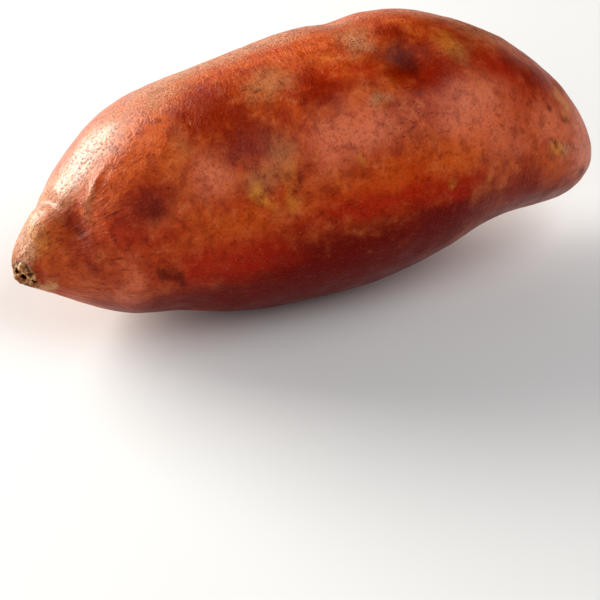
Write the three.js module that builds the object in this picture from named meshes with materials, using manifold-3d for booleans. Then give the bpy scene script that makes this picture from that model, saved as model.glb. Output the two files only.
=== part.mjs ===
// A whole raw sweet potato: one plump storage root that tapers to a corky stem scar at -X and ends
// in a blunt rounded tip at +X. It grew as one piece, so it is one closed solid. Its back is humped,
// its belly is slightly arched lengthwise, and it lies on one small flat spot under the belly.
//
// Frame: millimetres, +X along the root from the stem scar to the blunt tip, +Z up, the origin on
// the table plane below the middle of the root's box.
import * as THREE from "three";
import { ParametricGeometry } from "three/addons/geometries/ParametricGeometry.js";
import { mergeVertices } from "three/addons/utils/BufferGeometryUtils.js";
import Module from "manifold-3d";

// Driving dimensions
const LENGTH = 181; // stem scar to blunt tip
const THICKNESS = 78; // through the thickest part of the belly
const REST_DEPTH = 0.8; // how far the belly's lowest swelling is pressed flat where it lies

// Fineness of the faceted solid
const STEPS_ALONG = 72;
const STEPS_AROUND = 56;

// The root's cross-sections, from the stem scar to the blunt tip: [along, sway, lift, radius].
// along is a share of LENGTH from the middle of the root. sway (+Y), lift (+Z) and radius are
// shares of THICKNESS. They are the control points of a cubic B-spline, so the skin passes close
// to them and stays smooth. The first and last rows are the two poles, where the radius is 0.
const SECTIONS = [
  [-0.5, -0.045, 0.336, 0],
  [-0.5, -0.045, 0.336, 0.04],
  [-0.485, -0.038, 0.355, 0.088],
  [-0.448, -0.032, 0.386, 0.16],
  [-0.398, -0.013, 0.416, 0.266],
  [-0.333, 0, 0.446, 0.368],
  [-0.248, 0.006, 0.472, 0.429],
  [-0.148, 0.013, 0.476, 0.457],
  [-0.037, 0.013, 0.482, 0.485],
  [0.073, 0.006, 0.512, 0.506],
  [0.183, 0, 0.558, 0.474],
  [0.277, -0.006, 0.568, 0.399],
  [0.363, -0.019, 0.515, 0.331],
  [0.432, -0.032, 0.442, 0.255],
  [0.481, -0.045, 0.387, 0.147],
  [0.5, -0.051, 0.358, 0.055],
  [0.5, -0.051, 0.358, 0],
];

// Swellings (height above 0) and hollows (below 0) on the skin. along is as above. around is the
// angle in degrees: 0 is +Y, 90 the top, 180 -Y and 270 the belly. height, length and width are in
// millimetres, and turn is how far the long way is turned from the root's length, in degrees.
const SWELLINGS = [
  { name: "crown hump", along: -0.02, around: 60, height: 1.3, length: 17, width: 14 },
  { name: "dip behind the high hump", along: 0.075, around: 62, height: -1.0, length: 6, width: 12 },
  { name: "high hump", along: 0.17, around: 74, height: 1.1, length: 13, width: 16 },
  { name: "deep eye", along: 0.14, around: 112, height: -2.6, length: 8, width: 6, turn: 25 },
  { name: "shallow eye", along: 0.035, around: 122, height: -0.9, length: 5, width: 6 },
  { name: "neck dimple", along: -0.405, around: 133, height: -2.1, length: 6, width: 6 },
  { name: "neck knuckle", along: -0.43, around: 104, height: 0.9, length: 4.5, width: 4.5 },
  { name: "shoulder crease", along: -0.33, around: 111, height: 0.8, length: 12, width: 3, turn: -35 },
  { name: "upper tip corner", along: 0.355, around: 75, height: 0.7, length: 4.5, width: 6 },
  { name: "lower tip corner", along: 0.437, around: 100, height: 0.8, length: 4, width: 6 },
  { name: "belly waist", along: -0.25, around: 216, height: -1.2, length: 9, width: 14 },
  { name: "belly swelling", along: -0.12, around: 230, height: 1.4, length: 16, width: 16 },
  { name: "front swelling", along: 0.05, around: 145, height: 0.8, length: 12, width: 12 },
  { name: "front tip swelling", along: 0.25, around: 150, height: 0.9, length: 13, width: 12 },
  { name: "front hollow", along: 0.155, around: 138, height: -0.9, length: 7, width: 14 },
  { name: "under tip hollow", along: 0.3, around: 222, height: -1.0, length: 12, width: 9 },
  { name: "back shoulder", along: -0.29, around: 28, height: 1.2, length: 12, width: 11 },
  { name: "back waist", along: -0.14, around: 12, height: -1.6, length: 11, width: 15 },
  { name: "back swelling", along: 0.06, around: 350, height: 1.3, length: 17, width: 15 },
  { name: "back eye", along: 0.21, around: 22, height: -1.9, length: 6, width: 5, turn: 40 },
  { name: "back tip swelling", along: 0.33, around: 345, height: 0.9, length: 9, width: 12 },
  { name: "keel hollow", along: 0.24, around: 285, height: -1.1, length: 11, width: 9 },
  { name: "neck underside", along: -0.36, around: 300, height: 0.8, length: 8, width: 9 },
];
const SOFT_POLE = 6; // radius, in millimetres, below which swellings fade out towards a pole

// Rows mirrored across both poles, so that the B-spline crosses the axis square and closes smoothly.
function mirroredAtPoles(rows) {
  const mirrored = ([along, sway, lift, radius]) => [along, sway, lift, -radius];
  return [mirrored(rows[1]), ...rows, mirrored(rows[rows.length - 2])];
}
const CONTROL_ROWS = mirroredAtPoles(SECTIONS);

// The cross-section at v, from 0 at the stem scar to 1 at the blunt tip, by a uniform cubic B-spline.
function sectionAt(v) {
  const spans = CONTROL_ROWS.length - 3;
  const first = Math.min(Math.floor(v * spans), spans - 1);
  const f = v * spans - first;
  const weights = [
    (1 - f) ** 3 / 6,
    (3 * f ** 3 - 6 * f ** 2 + 4) / 6,
    (-3 * f ** 3 + 3 * f ** 2 + 3 * f + 1) / 6,
    f ** 3 / 6,
  ];
  const mixed = (column) =>
    weights.reduce((sum, weight, i) => sum + weight * CONTROL_ROWS[first + i][column], 0);
  return {
    x: mixed(0) * LENGTH,
    y: mixed(1) * THICKNESS,
    z: mixed(2) * THICKNESS,
    radius: Math.abs(mixed(3)) * THICKNESS,
  };
}

// The sum of all swellings at a point of the skin, in millimetres. Each is a bell over the distance
// along the root and the arc round it.
function swellingAt(x, angle, radius) {
  let sum = 0;
  for (const { along, around, height, length, width, turn = 0 } of SWELLINGS) {
    const gap = angle - THREE.MathUtils.degToRad(around);
    const arc = radius * (THREE.MathUtils.euclideanModulo(gap + Math.PI, 2 * Math.PI) - Math.PI);
    const run = x - along * LENGTH;
    const [c, s] = [Math.cos(THREE.MathUtils.degToRad(turn)), Math.sin(THREE.MathUtils.degToRad(turn))];
    const lengthwise = (run * c + arc * s) / length;
    const crosswise = (arc * c - run * s) / width;
    sum += height * Math.exp(-(lengthwise ** 2 + crosswise ** 2));
  }
  return sum * Math.min(radius / SOFT_POLE, 1);
}

// A point of the skin: u goes once round the root, v from the stem scar to the blunt tip.
function skinPoint(u, v, target) {
  const { x, y, z, radius } = sectionAt(v);
  const angle = 2 * Math.PI * (u % 1);
  const reach = radius + swellingAt(x, angle, radius);
  target.set(x, y + reach * Math.cos(angle), z + reach * Math.sin(angle));
}

// A closed three.js geometry as a manifold-3d solid.
function solidOf(wasm, geometry) {
  const bare = geometry.clone();
  bare.deleteAttribute("normal");
  bare.deleteAttribute("uv");
  const merged = mergeVertices(bare, 1e-4);
  return new wasm.Manifold(
    new wasm.Mesh({
      numProp: 3,
      vertProperties: merged.attributes.position.array,
      triVerts: new Uint32Array(merged.index.array),
    }),
  );
}

// A manifold-3d solid as a three.js geometry.
function geometryOf(solid) {
  const mesh = solid.getMesh();
  const geometry = new THREE.BufferGeometry()
    .setAttribute("position", new THREE.BufferAttribute(mesh.vertProperties, 3))
    .setIndex(new THREE.BufferAttribute(mesh.triVerts, 1));
  geometry.computeVertexNormals();
  return geometry;
}

// The root with its belly pressed flat on the table plane, z = 0.
function makeRoot(wasm) {
  const skin = new ParametricGeometry(skinPoint, STEPS_AROUND, STEPS_ALONG);
  skin.computeBoundingBox();
  skin.translate(0, 0, -skin.boundingBox.min.z - REST_DEPTH);
  const table = new THREE.BoxGeometry(2 * LENGTH, 2 * THICKNESS, THICKNESS);
  table.translate(0, 0, -THICKNESS / 2);
  const geometry = geometryOf(solidOf(wasm, skin).subtract(solidOf(wasm, table)));
  geometry.computeBoundingBox();
  const middle = geometry.boundingBox.getCenter(new THREE.Vector3());
  geometry.translate(-middle.x, -middle.y, 0);
  return geometry;
}

const skinMaterial = new THREE.MeshStandardMaterial({
  name: "sweet_potato_skin",
  color: 0xa8482a,
  roughness: 0.55,
  metalness: 0,
});

const wasm = await Module();
wasm.setup();

const sweetPotato = new THREE.Mesh(makeRoot(wasm), skinMaterial);
sweetPotato.name = "sweet_potato";

const part = new THREE.Group();
part.add(sweetPotato);

export default part;
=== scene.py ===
"""A whole raw sweet potato lying on a pale table under soft studio light.

The skin is one closed surface worked out with numpy: a B-spline of round cross-sections with
swellings and hollows on it, wrinkled and pitted along its normals, and crusted over at the corky
stem scar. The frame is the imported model's: metres, +X from the stem scar to the blunt tip, +Z up.
Lengths in the tables below are in millimetres.
"""
import math

import bpy
import numpy as np
from mathutils import Matrix, Vector


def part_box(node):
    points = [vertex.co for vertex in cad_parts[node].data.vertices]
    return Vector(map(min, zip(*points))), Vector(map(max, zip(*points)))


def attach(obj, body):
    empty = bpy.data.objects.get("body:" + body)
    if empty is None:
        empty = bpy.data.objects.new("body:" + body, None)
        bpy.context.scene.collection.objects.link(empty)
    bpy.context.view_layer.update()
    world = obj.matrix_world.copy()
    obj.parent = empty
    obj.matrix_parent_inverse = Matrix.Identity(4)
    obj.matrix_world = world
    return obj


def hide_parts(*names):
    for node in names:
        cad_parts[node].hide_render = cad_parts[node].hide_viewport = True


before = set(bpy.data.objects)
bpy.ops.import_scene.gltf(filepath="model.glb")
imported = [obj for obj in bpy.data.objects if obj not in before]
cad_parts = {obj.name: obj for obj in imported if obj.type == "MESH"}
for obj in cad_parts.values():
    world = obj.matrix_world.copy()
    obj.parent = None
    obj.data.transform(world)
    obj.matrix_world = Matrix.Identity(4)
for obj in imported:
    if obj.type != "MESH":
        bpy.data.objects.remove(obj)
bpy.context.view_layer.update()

MM = 0.001
TAU = 2 * math.pi

# ---------------------------------------------------------------- the root's form

LENGTH = 181.0
THICKNESS = 78.0
REST_DEPTH = 0.8  # how far the belly's lowest swelling is pressed flat on the table
SOFT_POLE = 6.0  # radius below which swellings fade out towards a pole

# Cross-sections from the stem scar to the blunt tip: along in shares of LENGTH, then sway (+Y),
# lift (+Z) and radius in shares of THICKNESS.
SECTIONS = [
    (-0.5, -0.045, 0.336, 0),
    (-0.5, -0.045, 0.336, 0.04),
    (-0.485, -0.038, 0.355, 0.088),
    (-0.448, -0.032, 0.386, 0.16),
    (-0.398, -0.013, 0.416, 0.266),
    (-0.333, 0, 0.446, 0.368),
    (-0.248, 0.006, 0.472, 0.429),
    (-0.148, 0.013, 0.476, 0.457),
    (-0.037, 0.013, 0.482, 0.485),
    (0.073, 0.006, 0.512, 0.506),
    (0.183, 0, 0.558, 0.474),
    (0.277, -0.006, 0.568, 0.399),
    (0.363, -0.019, 0.515, 0.331),
    (0.432, -0.032, 0.442, 0.255),
    (0.481, -0.045, 0.387, 0.147),
    (0.5, -0.051, 0.358, 0.055),
    (0.5, -0.051, 0.358, 0),
]

# Swellings (height above 0) and hollows (below 0): along as above, the angle around in degrees
# (0 is +Y, 90 the top, 180 -Y, 270 the belly), height, length, width, turn in degrees. These and the
# cross-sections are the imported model's own.
SWELLINGS = [
    (-0.02, 60, 1.3, 17, 14, 0),  # crown hump
    (0.075, 62, -1.0, 6, 12, 0),  # dip behind the high hump
    (0.17, 74, 1.1, 13, 16, 0),  # high hump
    (0.14, 112, -2.6, 8, 6, 25),  # deep eye
    (0.035, 122, -0.9, 5, 6, 0),  # shallow eye
    (-0.405, 133, -2.1, 6, 6, 0),  # neck dimple
    (-0.43, 104, 0.9, 4.5, 4.5, 0),  # neck knuckle
    (-0.33, 111, 0.8, 12, 3, -35),  # shoulder crease
    (0.355, 75, 0.7, 4.5, 6, 0),  # upper tip corner
    (0.437, 100, 0.8, 4, 6, 0),  # lower tip corner
    (-0.25, 216, -1.2, 9, 14, 0),  # belly waist
    (-0.12, 230, 1.4, 16, 16, 0),  # belly swelling
    (0.05, 145, 0.8, 12, 12, 0),  # front swelling
    (0.25, 150, 0.9, 13, 12, 0),  # front tip swelling
    (0.155, 138, -0.9, 7, 14, 0),  # front hollow
    (0.3, 222, -1.0, 12, 9, 0),  # under tip hollow
    (-0.29, 28, 1.2, 12, 11, 0),  # back shoulder
    (-0.14, 12, -1.6, 11, 15, 0),  # back waist
    (0.06, 350, 1.3, 17, 15, 0),  # back swelling
    (0.21, 22, -1.9, 6, 5, 40),  # back eye
    (0.33, 345, 0.9, 9, 12, 0),  # back tip swelling
    (0.24, 285, -1.1, 11, 9, 0),  # keel hollow
    (-0.36, 300, 0.8, 8, 9, 0),  # neck underside
]

# Fineness of the skin: rows are closer together over the stem scar, where the crust is fine.
ROWS_SCAR = 96
ROWS_BODY = 300
SCAR_SHARE = 0.1  # how much of the spline, from its start, the scar's rows take
COLUMNS = 240


def mirrored_at_poles(rows):
    """The control rows with the second and the last but one mirrored across the poles."""
    rows = np.array(rows, float)
    flip = np.array([1, 1, 1, -1])
    return np.vstack([rows[1] * flip, rows, rows[-2] * flip])


def sections_at(v):
    """Cross-sections at v in 0..1, as an array of x, y, z and radius in millimetres: a uniform cubic
    B-spline, which passes close to the control rows."""
    control = mirrored_at_poles(SECTIONS)
    spans = len(control) - 3
    first = np.minimum((v * spans).astype(int), spans - 1)
    f = (v * spans - first)[:, None]
    mixed = (
        control[first] * (1 - f) ** 3
        + control[first + 1] * (3 * f**3 - 6 * f**2 + 4)
        + control[first + 2] * (-3 * f**3 + 3 * f**2 + 3 * f + 1)
        + control[first + 3] * f**3
    ) / 6
    mixed[:, 3] = np.abs(mixed[:, 3])
    return mixed * [LENGTH, THICKNESS, THICKNESS, THICKNESS]


def bell(x, angle, radius, at_x, at_degrees, length, width, turn):
    """A bell of height 1 on the skin: exp(-(p squared + q squared)), where p is the distance along
    the root over length and q is the arc round it over width, after a turn in the skin."""
    arc = radius * ((angle - math.radians(at_degrees) + math.pi) % TAU - math.pi)
    run = x - at_x
    c, s = math.cos(math.radians(turn)), math.sin(math.radians(turn))
    p = (run * c + arc * s) / length
    q = (arc * c - run * s) / width
    return np.exp(-(p * p + q * q))


def waves(points, period, seed, count=48):
    """Smooth noise of about -1..1: the sum of count cosine waves of random direction and phase,
    whose wavelengths lie round period."""
    rng = np.random.default_rng(seed)
    way = rng.normal(size=(3, count))
    way /= np.linalg.norm(way, axis=0)
    turns = way * (TAU / (period * rng.uniform(0.7, 1.5, count)))
    phase = rng.uniform(0, TAU, count)
    return np.cos(points @ turns + phase).sum(-1) / math.sqrt(2 * count) / 1.5


def normals_of(grid):
    """Outward unit normals of a grid of points: the cross product of its differences round the root
    and along it. The two poles point straight along X."""
    down = np.gradient(grid, axis=0)
    around = np.roll(grid, -1, 1) - np.roll(grid, 1, 1)
    n = np.cross(around, down)
    n /= np.linalg.norm(n, axis=-1, keepdims=True) + 1e-12
    n[0] = (-1, 0, 0)
    n[-1] = (1, 0, 0)
    return n


def smooth(value, low, high):
    """0 below low, 1 above high, and a smooth S between them."""
    t = np.clip((value - low) / (high - low), 0, 1)
    return t * t * (3 - 2 * t)


# ---------------------------------------------------------------- the skin's grid

v = np.concatenate(
    [
        np.linspace(0, SCAR_SHARE, ROWS_SCAR, endpoint=False),
        np.linspace(SCAR_SHARE, 1, ROWS_BODY),
    ]
)
section = sections_at(v)
angle = np.broadcast_to(np.arange(COLUMNS) * TAU / COLUMNS, (len(v), COLUMNS))
x = np.broadcast_to(section[:, :1], angle.shape)
radius = np.broadcast_to(section[:, 3:], angle.shape)


def bells(rows, unit):
    """The sum of bells on the skin, in millimetres. Each row is along in units of unit millimetres,
    around in degrees, height, length, width, and turn in degrees."""
    return sum(
        height * bell(x, angle, radius, along * unit, around, length, width, turn)
        for along, around, height, length, width, turn in rows
    )


reach = radius + bells(SWELLINGS, LENGTH) * np.minimum(radius / SOFT_POLE, 1)
form = np.stack(
    [x, section[:, 1:2] + reach * np.cos(angle), section[:, 2:3] + reach * np.sin(angle)], -1
)
normal = normals_of(form)

# Skin coordinates that follow the root: along it, and round it on a drum of one mean radius.
DRUM = 38.0
grain = np.stack([x, DRUM * np.cos(angle), DRUM * np.sin(angle)], -1)

# ---------------------------------------------------------------- marks on the skin

# Each mark: along in millimetres from the middle, around in degrees, length, width, turn, strength.
MARKS = {
    # waxy salmon-pink skin, the thinnest and smoothest, partly painted pink sheen at the blunt tip and
    # along the crest
    "blush": [
        (6, 133, 8, 8, 0, 1.0),
        (42, 140, 13, 11, 0, 1.0),
        (-37, 139, 6, 8, 0, 0.8),
        (-4, 138, 6, 8, 0, 0.8),
        # painted grazing sheen at the blunt tip
        (81, 160, 6, 16, 0, 1.0),
        (67, 150, 8, 7, 0, 0.8),
        (-62, 195, 5, 12, 0, 0.7),
        (50, 162, 8, 6, 0, 0.5),
        # painted sheen along the crest
        (12, 70, 20, 7, 0, 0.3),
        (40, 74, 14, 6, 0, 0.4),
        (62, 96, 10, 6, 0, 0.4),
    ],
    # paler, drier skin on the crown and the shoulder, partly painted highlight on the shoulder, the
    # knob and the crease ridges, and painted sheen along the crest
    "pale": [
        (-64, 86, 13, 10, 0, 0.7),
        (-72, 98, 7, 6, 0, 0.6),
        (-86, 90, 4, 8, 0, 0.9),
        (-82, 66, 9, 10, 0, 0.6),
        # painted sheen along the crest
        (-38, 68, 18, 9, 0, 0.6),
        (-8, 66, 18, 8, 0, 0.6),
        (14, 72, 14, 6, 0, 0.4),
        (40, 76, 14, 7, 0, 0.5),
        (-42, 84, 8, 6, 0, 0.4),
        (13, 124, 3, 3, 0, 0.6),
        (73, 162, 5, 1.6, 0, 0.7),
        (15, 94, 5, 4, 60, 0.5),
        # painted highlight along the two shoulder crease ridges
        (-66.3, 116, 5, 1.6, -42, 0.5),
        (-70.7, 131, 1.4, 5, 0, 0.4),
    ],
    # orange, well coloured skin
    "orange": [
        (-82, 128, 4.5, 13, 0, 1.0),
        (-56, 113, 8, 6, 0, 1.0),
        (-49, 102, 6, 7, 0, 0.9),
        (-28, 82, 26, 6, 0, 0.6),
        (2, 88, 8, 9, 0, 0.5),
        (-32, 163, 14, 6, 0, 0.7),
        (10, 158, 14, 5, 0, 0.7),
        (34, 157, 8, 7, 0, 0.9),
        (31, 96, 4, 5, 0, 0.3),
        (67, 180, 6, 10, 0, 0.8),
        (-60, 124, 7, 5, 0, 0.5),
        (-77, 195, 6, 12, 0, 0.5),
    ],
    # vivid red skin; the four marks low on the front also stand for painted shade with a painted
    # orange bounce light
    "red": [
        (8, 165, 20, 6, 0, 1.0),
        (-35, 182, 20, 9, 0, 0.9),
        (33, 174, 12, 4, 0, 0.8),
        (-60, 150, 8, 7, 0, 0.6),
        (54, 118, 10, 8, 0, 1.0),
        (30, 122, 8, 6, 0, 0.8),
        (0, 108, 8, 6, 0, 0.6),
        (14, 110, 5, 5, 0, 0.6),
    ],
    # thick brownish red skin
    "russet": [
        (-31, 108, 10, 12, 0, 1.0),
        (-24, 128, 9, 7, 20, 0.9),
        (-44, 106, 6, 5, -30, 0.5),
        (-2, 114, 6, 7, 0, 0.9),
        (-57, 140, 9, 7, 0, 0.8),
        # painted shade in the neck dimple
        (-74.6, 133, 2.8, 8, 0, 1.0),
        (-78.4, 92, 1.2, 6.5, -11, 0.6),
        (25, 92, 6, 7, 0, 0.8),
        (26, 115, 8, 7, 0, 0.9),
        (32, 118, 7, 8, 0, 0.8),
        (64, 112, 9, 8, 0, 0.8),
        (-82, 155, 5, 12, 0, 0.8),
        (58, 195, 16, 10, 0, 0.8),
        (-72, 168, 4, 10, 0, 0.6),
        (0, 8, 60, 22, 0, 0.5),
        (0, 328, 60, 20, 0, 0.5),
    ],
    # near black stains
    "stain": [
        (26, 113, 2.6, 5, 0, 0.9),
        (23.5, 101, 2.6, 5, 0, 0.5),
        (25, 109, 5, 8, 0, 0.5),
        (-56, 141, 6, 6, 0, 0.4),
        (-54, 146, 3, 2.5, 0, 0.5),
        (-51, 188, 1.8, 5, 0, 0.8),
        (-12.5, 147, 1.4, 4.5, 15, 0.7),
        (-36, 152, 2, 1.8, 0, 0.5),
        (-7.5, 115, 1.4, 1.8, 0, 0.6),
        (81, 195, 3, 4, 0, 0.7),
        (67.5, 137, 1.6, 1.4, 0, 0.7),
        (74, 142, 1.4, 1.8, 0, 0.7),
        (66, 112, 1.6, 2.2, 0, 0.5),
        # painted shade in the neck dimple and on its lower lip
        (-74, 142, 2, 3, 0, 0.7),
        (-71.5, 149, 2, 4, 0, 0.4),
        (13, 117, 3, 2, 0, 0.6),
        (54, 173, 1.2, 1, 0, 0.6),
        (54, 154, 1, 1.2, 0, 0.5),
        (67, 158, 1.2, 1, 0, 0.6),
    ],
    # painted shade: the belly and the low front, darkened where shade falls
    "painted_belly_shade": [
        (0, 196, 38, 18, 0, 1.0),
        (-22, 212, 30, 16, 0, 0.9),
        (10, 222, 40, 14, 0, 0.8),
        (28, 190, 18, 8, 0, 0.8),
        (66, 212, 20, 10, 0, 0.6),
        (-56, 220, 18, 12, 0, 0.6),
    ],
    # yellow ochre where the skin is thin or healed
    "ochre": [
        (-25.5, 151, 2.8, 3.2, 0, 1.0),
        (-23.5, 156, 2.4, 2.2, 0, 0.9),
        (-16, 157, 3, 4.5, 0, 0.6),
        (-15.5, 145, 2, 4, 0, 0.5),
        (40, 104, 4, 6, 0, 0.6),
        (75.5, 124, 2, 3.6, 0, 1.0),
        (75.5, 141, 1.4, 2, 0, 0.6),
        (68.5, 167, 2.6, 2.4, -40, 1.0),
        (31.5, 171, 1.4, 1.8, 0, 0.8),
        (43, 177, 2, 2, 0, 0.6),
        (-82, 122, 3.5, 8, 0, 0.6),
        (-63, 80, 12, 7, 0, 0.3),
        (5, 146, 1.4, 2, 0, 0.6),
        (6, 94, 2, 2, 0, 0.5),
    ],
    # dull olive and grey scurf
    "scurf": [
        (-24, 143, 6, 5, 0, 0.9),
        (-15, 136, 5, 6, 0, 0.8),
        (14, 90, 6, 9, 0, 0.9),
        (-14, 100, 7, 7, 0, 1.0),
        (-43, 117, 4, 5, 0, 0.5),
        (42, 110, 5, 6, 0, 0.6),
        (56, 84, 8, 6, 0, 0.7),
        (13, 124, 3, 3, 0, 0.5),
        (-20, 163, 3, 3, 0, 0.5),
        (47, 90, 6, 5, 0, 0.5),
        (-54, 152, 7, 4, 0, 0.4),
    ],
    # where the dark breathing pores stand close together
    "pores": [
        (23, 130, 7, 9, 0, 1.0),
        (-3, 130, 6, 7, 0, 0.8),
        (-31, 134, 6, 6, 0, 0.7),
        (64, 134, 7, 6, 0, 0.9),
        (15, 88, 8, 10, 0, 0.7),
        (20, 142, 8, 5, 0, 0.6),
        (-46, 142, 8, 6, 0, 0.5),
        (-62, 90, 14, 12, 0, 1.0),
        (-70, 104, 6, 4, 0, 0.7),
        (46, 84, 12, 6, 0, 0.5),
    ],
    # tan corky skin
    "cork": [
        (-83.5, 88, 4, 5, 0, 0.6),
        (-83.2, 206, 1.5, 5, 0, 0.7),
        (-86, 228, 3, 4, 0, 0.8),
    ],
}
# Marks of the same kinds at random on the belly and the back: how many, and how bold.
HIDDEN_MARKS = {
    "blush": (8, 1.0),
    "orange": (4, 1.0),
    "red": (9, 1.0),
    "russet": (14, 1.0),
    "stain": (9, 0.8),
    "ochre": (6, 0.5),
    "scurf": (8, 0.8),
    "pores": (8, 1.0),
}
HIDDEN_LENGTH = (4, 13)
HIDDEN_ALONG = (-75, 80)
HIDDEN_AROUND = (235, 410)  # from low on the front, under the belly, to high on the back
HIDDEN_WIDTH = (0.5, 0.9)  # as a share of the length
HIDDEN_TURN = (-40, 40)
HIDDEN_STRENGTH = (0.4, 0.9)

DRIFTS = [(2.4, 12), (1.3, 4.5)]  # how far noise pulls the marks about, and its wavelength
LEAST_RADIUS = 4  # the pull round the root is no stronger than at this radius


def hidden_marks(count, boldness, rng):
    """Random marks on the belly and the back, in the same form as MARKS."""
    for _ in range(count):
        length = rng.uniform(*HIDDEN_LENGTH)
        yield (
            rng.uniform(*HIDDEN_ALONG),
            rng.uniform(*HIDDEN_AROUND),
            length,
            length * rng.uniform(*HIDDEN_WIDTH),
            rng.uniform(*HIDDEN_TURN),
            boldness * rng.uniform(*HIDDEN_STRENGTH),
        )


def drift(seed):
    """Smooth noise in millimetres, the sum of the waves in DRIFTS."""
    return sum(pull * waves(form, period, seed + i) for i, (pull, period) in enumerate(DRIFTS))


def mark_mask(marks, seed):
    """How strongly a kind of mark covers each point of the skin: 1 minus the product of what each
    bell leaves uncovered. The skin is pulled about by smooth noise first, so no mark is round."""
    drift_x = x + drift(seed)
    drift_angle = angle + drift(seed + len(DRIFTS)) / np.maximum(radius, LEAST_RADIUS)
    clear = np.ones(angle.shape)
    for at_x, around, length, width, turn, strength in marks:
        cover = bell(drift_x, drift_angle, radius, at_x, around, length, width, turn)
        clear = clear * (1 - strength * cover)
    return 1 - clear


MARK_SEED = 100
SEEDS_PER_KIND = 10

rng = np.random.default_rng(7)
masks = {}
for i, (kind, marks) in enumerate(MARKS.items()):
    hidden = hidden_marks(*HIDDEN_MARKS.get(kind, (0, 0)), rng)
    masks[kind] = mark_mask([*marks, *hidden], MARK_SEED + SEEDS_PER_KIND * i)

# ---------------------------------------------------------------- the stem scar's crust

SCAR_MIDDLE = (-88.4, -7.6, 26.4)
SCAR_EDGE = (4.2, 5.6)  # the distances where the crust starts to thin out and where it ends
SCAR_RAGGEDNESS = 0.7  # how far the edge strays
SCAR_NODULES = 34
NODULE_SPREAD = 2.6  # how far from the middle they scatter
NODULE_RADIUS = (0.55, 1.15)
NODULE_HEIGHT = 0.75  # as a share of the radius
# The middle of each hole, and its radius
SCAR_HOLES = [
    (-89.6, -6.6, 28.0, 0.8),
    (-88.6, -8.6, 27.0, 0.9),
    (-86.6, -11.4, 26.0, 1.1),
    (-86.0, -10.6, 23.6, 0.9),
    (-88.6, -4.4, 23.4, 0.8),
]
HOLE_DEPTH = 1.5
RIM_HEIGHT = 0.5
RIM_RADIUS = 1.3  # in hole radii
RIM_SHARPNESS = 4
CRUST_PITTING = 0.25  # height of the fine lumps all over the crust
CREVICE_LEVELS = (-0.15, 0.3)  # crust heights: dark below the first, clear above the second

ragged = SCAR_RAGGEDNESS * waves(form, period=2.5, seed=11)
scar = 1 - smooth(np.linalg.norm(form - SCAR_MIDDLE, axis=-1) + ragged, *SCAR_EDGE)
crust = np.zeros(angle.shape)
near = slice(0, ROWS_SCAR + 20)  # the rows that the crust reaches


def radii_from(centre, unit):
    """The distance of the scar's rows of points from a centre, in units of unit millimetres."""
    return np.linalg.norm(form[near] - centre, axis=-1) / unit


# Nodules are flat-topped bells, exp(-(distance to the fourth)), of which the highest counts.
for _ in range(SCAR_NODULES):
    centre = SCAR_MIDDLE + rng.normal(size=3) * NODULE_SPREAD
    nodule = rng.uniform(*NODULE_RADIUS)
    bump = nodule * NODULE_HEIGHT * np.exp(-(radii_from(centre, nodule) ** 4))
    crust[near] = np.maximum(crust[near], bump)
# Holes are the same bells turned down, each in a rim: exp(-(sharpness x distance from it squared)).
for *centre, hole in SCAR_HOLES:
    out = radii_from(centre, hole)
    crust[near] += RIM_HEIGHT * np.exp(-RIM_SHARPNESS * (out - RIM_RADIUS) ** 2)
    crust[near] -= HOLE_DEPTH * np.exp(-(out**4))
crust -= CRUST_PITTING * np.clip(waves(form, period=1.3, seed=12), -1, 0.2)
masks["scar"] = scar
masks["crevice"] = scar * (1 - smooth(crust, *CREVICE_LEVELS))

# ---------------------------------------------------------------- wrinkles

# Creases, knuckles and pits finer than the CAD's facets, in the same form as SWELLINGS but with
# along in millimetres.
CREASES = [
    (-75.0, 130, -0.6, 2.2, 6.5, 0),  # bottom of the neck dimple
    (-74.8, 152, -1.3, 4.6, 7.5, 0),  # shallow valley that runs on below it
    (-79.8, 118, 0.6, 2.4, 5.0, 0),  # knuckle beside it
    (-59.7, 111, -0.35, 12, 3.0, -35),  # the shoulder ridge, worn lower
    (-66.3, 116, 0.7, 4.5, 0.9, -42),  # upper shoulder crease
    (-66.0, 119, -0.15, 5.5, 1.4, -42),  # its shaded side
    (-70.7, 130, 0.8, 0.9, 5.5, 0),  # lower shoulder crease
    (-78.4, 90, -1.5, 1.5, 9.0, -11),  # groove where the neck meets the shoulder
    (-83.0, 100, 1.4, 3.2, 6.5, 0),  # knob beyond it
    (-82.5, 212, 0.5, 1.4, 3.0, 0),  # corky lump under the neck
    (-84.6, 184, -0.5, 1.0, 4.0, 0),  # cleft between it and the scar
]

# Waves on the skin, each: height, wavelength, seed and number of cosines. The body's are round, the
# fibres run along the neck, and the rings run round the rest of the root.
BODY_WAVES = [(0.28, 21, 1, 48), (0.10, 9, 2, 48), (0.035, 3.6, 3, 96)]
FIBRE_WAVES = [(0.10, 3.4, 4, 96), (0.06, 2.0, 5, 96)]
RING_WAVES = [(0.05, 5.0, 6, 96), (0.03, 2.6, 7, 96)]
FIBRE_SQUEEZE = (0.14, 1, 1)  # squeezing the coordinates along X draws the noise out along X
RING_SQUEEZE = (1, 0.16, 0.16)
NECK_END = (-72, -40)  # along, where the fibres start to give way to the rings and where they end
CRUST_SHARE = 0.8
FINE_POLE = 1.5  # radius below which the relief fades out towards a pole


def wave_sum(points, rows):
    """The sum of smooth noises, each with its own height and wavelength, in millimetres."""
    return sum(height * waves(points, period, seed, count) for height, period, seed, count in rows)


neck = 1 - smooth(x, *NECK_END)
relief = (
    wave_sum(form, BODY_WAVES)
    + neck * wave_sum(grain * FIBRE_SQUEEZE, FIBRE_WAVES)
    + (1 - neck) * wave_sum(grain * RING_SQUEEZE, RING_WAVES)
    + CRUST_SHARE * scar * crust
    + bells(CREASES, 1)
)
relief *= np.minimum(radius / FINE_POLE, 1)
skin = form + normal * relief[..., None]

# ---------------------------------------------------------------- the mesh


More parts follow.
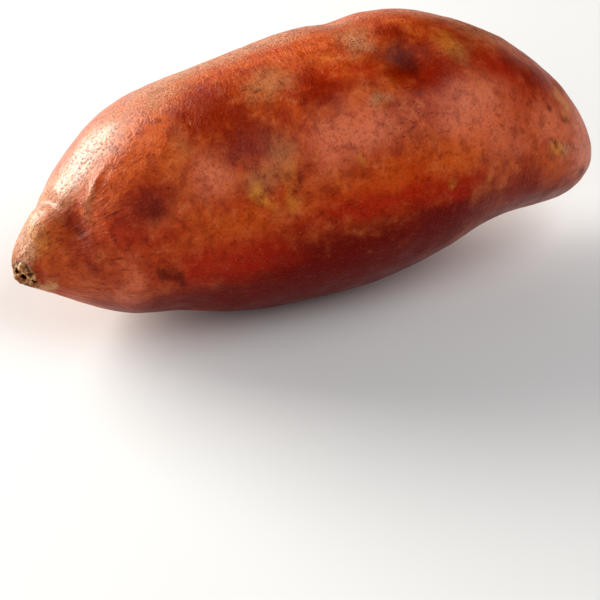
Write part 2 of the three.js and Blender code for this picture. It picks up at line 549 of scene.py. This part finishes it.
def pressed_into(points, box, depth):
    """The points moved and stretched to fill a box exactly, after those less than depth above the
    lowest one are pressed flat into one plane."""
    low, high = np.array(box) / MM
    z = points[..., 2] - points[..., 2].min() - depth
    points = np.stack([points[..., 0], points[..., 1], np.maximum(z, 0)], -1)
    least, most = points.min((0, 1)), points.max((0, 1))
    return low + (points - least) * (high - low) / (most - least)


def placed(name, data):
    """A new object at the origin with this data, in the scene."""
    thing = bpy.data.objects.new(name, data)
    bpy.context.scene.collection.objects.link(thing)
    return thing


def closed_mesh(name, grid, attributes):
    """A closed mesh of a grid whose first and last rows are single points. The rows between are
    joined into quads and the ends into triangles. attributes go onto its points."""
    rows, columns = grid.shape[:2]
    inner = np.arange((rows - 2) * columns).reshape(rows - 2, columns) + 1
    last = inner[-1, -1] + 1
    beside = np.roll(inner, -1, 1)
    quads = np.stack([inner[:-1], beside[:-1], beside[1:], inner[1:]], -1).reshape(-1, 4)
    start = np.stack([np.zeros(columns, int), beside[0], inner[0]], -1)
    end = np.stack([np.full(columns, last), inner[-1], beside[-1]], -1)

    def flat(values):
        between = values[1:-1].reshape((-1,) + values.shape[2:])
        return np.concatenate([values[0, :1], between, values[-1, :1]])

    mesh = bpy.data.meshes.new(name)
    mesh.from_pydata(flat(grid) * MM, [], quads.tolist() + start.tolist() + end.tolist())
    mesh.polygons.foreach_set("use_smooth", np.ones(len(mesh.polygons), bool))
    for key, values in attributes.items():
        kind = "FLOAT_VECTOR" if values.ndim == 3 else "FLOAT"
        layer = mesh.attributes.new(key, kind, "POINT")
        layer.data.foreach_set("vector" if values.ndim == 3 else "value", flat(values).ravel())
    mesh.update()
    return placed(name, mesh)


root_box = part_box("sweet_potato")
skin = pressed_into(skin, root_box, REST_DEPTH)
masks["fibre"] = neck
MASK_NAMES = list(masks)
masks["grain"] = grain
root = closed_mesh("sweet_potato_skin", skin, masks)


# ---------------------------------------------------------------- materials


def linear(hex_colour):
    """A linear RGBA colour from sRGB hex."""
    channels = [int(hex_colour[i : i + 2], 16) / 255 for i in (1, 3, 5)]
    return [c / 12.92 if c <= 0.04045 else ((c + 0.055) / 1.055) ** 2.4 for c in channels] + [1.0]


def add(tree, kind, inputs=None, out=0, **settings):
    """Adds a shader node with its settings. An input that is a socket is linked, any other is set.
    Returns the output socket."""
    made = tree.nodes.new("ShaderNode" + kind)
    for name, value in settings.items():
        setattr(made, name, value)
    for key, value in (inputs or {}).items():
        if isinstance(value, bpy.types.NodeSocket):
            tree.links.new(value, made.inputs[key])
        else:
            made.inputs[key].default_value = value
    return made.outputs[out] if len(made.outputs) else made


def blank_material(name):
    """A new material with an empty node tree: (material, tree)."""
    material = bpy.data.materials.new(name)
    material.use_nodes = True
    material.node_tree.nodes.clear()
    return material, material.node_tree


FACTOR, A, B, RESULT = 0, 6, 7, 2  # the colour sockets of a Mix node

# Noise in the skin: the size of its features in millimetres, its detail and its roughness. The
# thread noise only gives hair lines, where it crosses one half.
NOISES = {
    "cloud": (24, 4, 0.6),
    "lobe": (7, 5, 0.65),
    "mottle": (4.2, 5, 0.62),
    "speck": (2.0, 3, 0.6),
    "fleck": (2.0, 6, 0.72),
    "grit": (0.8, 3, 0.65),
    "dust": (0.6, 2, 0.5),
    "crepe": (0.8, 4, 0.65),
    "thread": (9, 3, 0.5),
    "cork": (1.2, 4, 0.7),
}

# Clouds of colour in the skin itself: which noise, the values where the colour starts and is
# fullest, its greatest cover, and the colour.
SKIN_COLOUR = "#a94116"
CLOUDS = [
    ("cloud", 0.35, 0.65, 1.0, "#b95a28"),  # paler copper
    ("lobe", 0.4, 0.7, 0.5, "#8e300e"),  # redder lobes
    ("mottle", 0.5, 0.32, 0.25, "#dc8e5c"),  # pale mottling
]

# The colour of each kind of mark and its greatest cover, in the order they are laid on.
MARK_COLOURS = {
    # painted shade on the belly and the low front
    "painted_belly_shade": ("#640f06", 0.95),
    # partly painted shade and orange bounce light low on the front
    "red": ("#a3260a", 0.8),
    "russet": ("#82240b", 0.85),
    "orange": ("#c05a20", 0.7),
    # partly painted highlight and sheen
    "pale": ("#c08c62", 0.8),
    # partly painted pink sheen
    "blush": ("#cf7350", 0.8),
    "scurf": ("#a8764c", 0.55),
    "ochre": ("#cc8a3a", 0.65),
    "cork": ("#c8986a", 0.9),
    "stain": ("#4c1005", 0.75),
}

# Finer colour over the marks, in the same form as CLOUDS.
FLECKS = [
    ("mottle", 0.47, 0.68, 0.5, "#7c2409"),  # dark mottling
    ("fleck", 0.5, 0.7, 0.5, "#6a1c08"),  # dark dots
    ("grit", 0.5, 0.68, 0.4, "#6e1e0a"),  # dark grains
    ("dust", 0.55, 0.73, 0.12, "#d88a5c"),  # pale grains
]

# Where a mark's colour starts and is fullest, on its mask times noise, and that noise's gain and lift
MARK_EDGE = (0.08, 0.85)
EDGE_GAIN = 1.1
EDGE_LIFT = -0.1

PORE_SPACING = 1.2  # millimetres between breathing pores
PORE_CROWDING = 0.4  # how much the pores mask adds to the speck noise
LARGEST_PORE = 0.4  # its radius in pore spacings
# Fine fibres along the neck and fine lines round the body: their width in millimetres, and how
# much their coordinates are squeezed to draw them out.
FINE_FIBRE_WIDTH = 1.3
FINE_FIBRE_SQUEEZE = (0.34, 1, 1)
FINE_RING_WIDTH = 0.9
FINE_RING_SQUEEZE = (1, 0.2, 0.2)
BUMP_HEIGHT = 0.22  # millimetres
# How much each layer adds to the bump: the crepe everywhere and more on pale skin, the mottling,
# and the pores, which are pits.
CREPE_BUMP = 1.2
PALE_CREPE_BUMP = 5.5
MOTTLE_BUMP = 0.6
PORE_BUMP = -0.4
SKIN_ROUGHNESS = (0.3, 0.42)  # from waxy to dry, by the lobe noise
DULLER = {"scurf": 0.15, "stain": 0.22, "scar": 0.35}  # roughness that these marks add
CRINKLE_DULLER = 0.25
COAT = (0.08, 0.75)  # the clear coat's weight, from bare skin to pale waxy plates


def skin_material():
    """Raw sweet potato skin: a thin cured periderm, washed and dried. It gives the eye a satin copper
    red with soft blotches, dark pores and fine wrinkles. Pale dry plates of it on the shoulder and the
    crown have a clear waxy coat, whose white shine the brown crinkles between them break up."""
    material, tree = blank_material("cured_sweet_potato_skin")
    place = add(tree, "TexCoord", out="Object")
    grain_place = add(tree, "Attribute", attribute_name="grain", out="Vector")
    mask = {name: add(tree, "Attribute", attribute_name=name, out="Fac") for name in MASK_NAMES}
    noise = {}
    for name, (size, detail, roughness) in NOISES.items():
        inputs = {"Vector": place, "Scale": 1 / (size * MM), "Detail": detail}
        noise[name] = add(tree, "TexNoise", inputs | {"Roughness": roughness})

    # the skin's own clouds, then the marks with edges broken up by noise, then the fine flecks
    colour = linear(SKIN_COLOUR)
    edge = add(tree, "Math", {0: noise["lobe"], 1: noise["mottle"]}, operation="ADD")
    edge = add(tree, "Math", {0: edge, 1: EDGE_GAIN, 2: EDGE_LIFT}, operation="MULTIPLY_ADD")
    # among the marks are painted shade, painted bounce light, painted highlight and painted sheen
    marks = []
    for kind, (hue, most) in MARK_COLOURS.items():
        broken = add(tree, "Math", {0: mask[kind], 1: edge}, operation="MULTIPLY")
        marks.append((broken, *MARK_EDGE, most, hue))
    clouds = [(noise[name], *rest) for name, *rest in CLOUDS]
    flecks = [(noise[name], *rest) for name, *rest in FLECKS]
    for value, low, high, most, hue in clouds + marks + flecks:
        inputs = {"Value": value, "From Min": low, "From Max": high, "To Max": most}
        cover = add(tree, "MapRange", inputs, interpolation_type="SMOOTHSTEP")
        inputs = {FACTOR: cover, A: colour, B: linear(hue)}
        colour = add(tree, "Mix", inputs, out=RESULT, data_type="RGBA")

    # dark dashes along the neck's fibres
    along = add(tree, "Mapping", {"Vector": grain_place, "Scale": FINE_FIBRE_SQUEEZE})
    inputs = {"Vector": along, "Scale": 1 / FINE_FIBRE_WIDTH, "Detail": 3.0}
    fibres = add(tree, "TexNoise", inputs | {"Roughness": 0.6, "Distortion": 0.6})
    inputs = {"Value": fibres, "From Min": 0.56, "From Max": 0.7, "To Max": 0.7}
    dashes = add(tree, "MapRange", inputs, interpolation_type="SMOOTHSTEP")
    dashes = add(tree, "Math", {0: dashes, 1: mask["fibre"]}, operation="MULTIPLY")

    # breathing pores: irregular dark dots, larger and closer together where the pores mask is high
    inputs = {"Vector": place, "Scale": 1 / (PORE_SPACING * MM)}
    from_middle = add(tree, "TexVoronoi", inputs, out="Distance")
    inputs = {0: mask["pores"], 1: PORE_CROWDING, 2: noise["speck"]}
    crowd = add(tree, "Math", inputs, operation="MULTIPLY_ADD")
    inputs = {"Value": crowd, "From Min": 0.5, "From Max": 1.0, "To Max": LARGEST_PORE}
    pore_radius = add(tree, "MapRange", inputs)
    inside = add(tree, "Math", {0: pore_radius, 1: from_middle}, operation="SUBTRACT")
    inputs = {"Value": inside, "From Min": -0.02, "From Max": 0.1}
    dot = add(tree, "MapRange", inputs, interpolation_type="SMOOTHSTEP")

    # brown crinkles between the pale plates of dry skin
    inputs = {"Value": noise["crepe"], "From Min": 0.5, "From Max": 0.62}
    crinkle = add(tree, "MapRange", inputs, interpolation_type="SMOOTHSTEP")
    crinkle = add(tree, "Math", {0: crinkle, 1: mask["pale"]}, operation="MULTIPLY")

    # short broken hair lines where the skin is scurfy: the thin places where noise is one half
    line = add(tree, "Math", {0: noise["thread"], 1: 0.5}, operation="SUBTRACT")
    line = add(tree, "Math", {0: line}, operation="ABSOLUTE")
    inputs = {"Value": line, "From Min": 0.018, "From Max": 0.002}
    line = add(tree, "MapRange", inputs, interpolation_type="SMOOTHSTEP")
    inputs = {"Value": noise["mottle"], "From Min": 0.48, "From Max": 0.6}
    shown = add(tree, "MapRange", inputs, interpolation_type="SMOOTHSTEP")
    shown = add(tree, "Math", {0: shown, 1: mask["scurf"]}, operation="MULTIPLY")
    line = add(tree, "Math", {0: line, 1: shown}, operation="MULTIPLY")

    # the stem scar's two browns
    inputs = {"Value": noise["cork"], "From Min": 0.4, "From Max": 0.65}
    patch = add(tree, "MapRange", inputs, interpolation_type="SMOOTHSTEP")
    inputs = {FACTOR: patch, A: linear("#8a5834"), B: linear("#d0a274")}
    corky = add(tree, "Mix", inputs, out=RESULT, data_type="RGBA")

    # finer things over the marks: where each lies, its greatest cover, and its colour
    overlays = [
        (dashes, 1.0, linear("#551606")),
        (crinkle, 0.6, linear("#8a4520")),
        (dot, 0.5, linear("#5e180a")),
        (line, 0.7, linear("#4a1a0a")),
        (mask["scar"], 1.0, corky),
        (mask["crevice"], 0.9, linear("#35160e")),
    ]
    for value, most, hue in overlays:
        cover = add(tree, "Math", {0: value, 1: most}, operation="MULTIPLY")
        inputs = {FACTOR: cover, A: colour, B: hue}
        colour = add(tree, "Mix", inputs, out=RESULT, data_type="RGBA")

    # relief finer than the mesh: lines along the neck and round the body, and crepe everywhere
    rings = add(tree, "Mapping", {"Vector": grain_place, "Scale": FINE_RING_SQUEEZE})
    inputs = {"Vector": rings, "Scale": 1 / FINE_RING_WIDTH, "Detail": 3.0}
    ring_lines = add(tree, "TexNoise", inputs | {"Roughness": 0.6, "Distortion": 0.5})
    height = add(tree, "Mix", {FACTOR: mask["fibre"], 2: ring_lines, 3: fibres})
    inputs = {0: mask["pale"], 1: PALE_CREPE_BUMP, 2: CREPE_BUMP}
    crepe_bump = add(tree, "Math", inputs, operation="MULTIPLY_ADD")
    layers = [(noise["crepe"], crepe_bump), (noise["mottle"], MOTTLE_BUMP), (dot, PORE_BUMP)]
    for value, share in layers:
        height = add(tree, "Math", {0: value, 1: share, 2: height}, operation="MULTIPLY_ADD")
    fine = add(tree, "Bump", {"Strength": 0.9, "Distance": BUMP_HEIGHT * MM, "Height": height})

    # satin where the skin is waxy, duller on scurf, stains, crinkles and the scar
    low, high = SKIN_ROUGHNESS
    inputs = {"Value": noise["lobe"], "From Min": 0.3, "From Max": 0.7, "To Min": low, "To Max": high}
    dull = add(tree, "MapRange", inputs, interpolation_type="SMOOTHSTEP")
    duller = [(mask[name], more) for name, more in DULLER.items()] + [(crinkle, CRINKLE_DULLER)]
    for value, more in duller:
        dull = add(tree, "Math", {0: value, 1: more, 2: dull}, operation="MULTIPLY_ADD")

    # the clear coat lies on the pale plates and not in the crinkles
    waxy = add(tree, "Math", {0: mask["pale"], 1: crinkle}, operation="SUBTRACT", use_clamp=True)
    low, high = COAT
    inputs = {"Value": waxy, "From Min": 0.3, "From Max": 0.9, "To Min": low, "To Max": high}
    waxy = add(tree, "MapRange", inputs)
    inputs = {
        "Base Color": colour,
        "Roughness": dull,
        "IOR": 1.45,
        "Specular IOR Level": 0.33,
        "Subsurface Weight": 0.12,
        "Subsurface Radius": (1.0, 0.3, 0.1),
        "Subsurface Scale": 1.5 * MM,
        "Coat Weight": waxy,
        "Coat Roughness": 0.3,
        "Normal": fine,
    }
    shader = add(tree, "BsdfPrincipled", inputs)
    add(tree, "OutputMaterial", {"Surface": shader})
    return material


def floor_material():
    """Matt white laminate: plain, so that it gives the eye only a soft shadow."""
    material, tree = blank_material("matt_white_laminate")
    shader = add(tree, "BsdfPrincipled", {"Base Color": linear("#d4d4d4"), "Roughness": 0.8})
    add(tree, "OutputMaterial", {"Surface": shader})
    return material


root.data.materials.append(skin_material())
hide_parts("sweet_potato")
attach(root, "root")

# ---------------------------------------------------------------- table, light and camera


def make_floor(size):
    """A flat square table top at z = 0."""
    mesh = bpy.data.meshes.new("table_top")
    h = size / 2
    mesh.from_pydata([(-h, -h, 0), (h, -h, 0), (h, h, 0), (-h, h, 0)], [], [(0, 1, 2, 3)])
    mesh.materials.append(floor_material())
    return placed("table_top", mesh)


def aimed(place, target):
    """A matrix at place whose -Z looks at target, with +Y up."""
    look = Vector(target) - Vector(place)
    return Matrix.Translation(place) @ look.to_track_quat("-Z", "Y").to_matrix().to_4x4()


def softbox(name, direction, distance, width, height, power, colour):
    """A rectangular area light that faces the root from a direction. Its distance and sides are in
    metres, and its power in watts."""
    light = bpy.data.lights.new(name, "AREA")
    light.shape = "RECTANGLE"
    light.size, light.size_y = width, height
    light.energy = power
    light.color = linear(colour)[:3]
    place = middle + Vector(direction).normalized() * distance
    placed(name, light).matrix_world = aimed(place, middle)


FLOOR_SIZE = 6.0  # metres
# Softboxes: direction from the root, distance, width, height, power and colour. The one behind on the
# left is the strongest and gives the shine on the shoulder; the two in front fill its shade.
SOFTBOXES = {
    "back_left_softbox": ((-0.61, 0.74, 0.33), 1.1, 0.85, 0.75, 23.0, "#fffdf6"),
    "right_softbox": ((0.435, -0.435, 0.788), 1.2, 1.1, 0.9, 7.2, "#ffffff"),
    "left_softbox": ((-0.7, -0.75, 0.45), 1.3, 1.4, 0.9, 4.2, "#ffffff"),
}
WORLD_STRENGTH = 0.12

middle = (Vector(root_box[0]) + Vector(root_box[1])) / 2
make_floor(FLOOR_SIZE)
for name, settings in SOFTBOXES.items():
    softbox(name, *settings)

scene = bpy.context.scene
scene.world = bpy.data.worlds.new("studio")
scene.world.use_nodes = True
background = scene.world.node_tree.nodes["Background"]
background.inputs["Color"].default_value = linear("#ffffff")
background.inputs["Strength"].default_value = WORLD_STRENGTH

CAMERA_ELEVATION = math.radians(38)
CAMERA_SWING = math.radians(20)  # how far the camera stands to the left of the front
CAMERA_DISTANCE = 0.588  # metres
# A point low in front of the root, which puts the root high in the frame
AIM = Vector((-10.2, -23.9, 7.3)) * MM
BLACK_LEVEL = (0.015, 0.013, 0.011)  # takes a trace of warm haze off the darkest tones
WHITE_LEVEL = (0.85, 0.85, 0.85)  # brings the table up to white

camera_data = bpy.data.cameras.new("camera")
camera_data.lens = 120
camera_data.sensor_width = 36
camera_data.clip_start = 0.01
camera_way = Vector(
    (
        -math.cos(CAMERA_ELEVATION) * math.sin(CAMERA_SWING),
        -math.cos(CAMERA_ELEVATION) * math.cos(CAMERA_SWING),
        math.sin(CAMERA_ELEVATION),
    )
)
camera = placed("camera", camera_data)
camera.matrix_world = aimed(AIM + camera_way * CAMERA_DISTANCE, AIM)
scene.camera = camera

view = scene.view_settings
view.view_transform = "Standard"
view.look = "Medium High Contrast"
view.use_curve_mapping = True
view.curve_mapping.black_level = BLACK_LEVEL
view.curve_mapping.white_level = WHITE_LEVEL
view.curve_mapping.update()
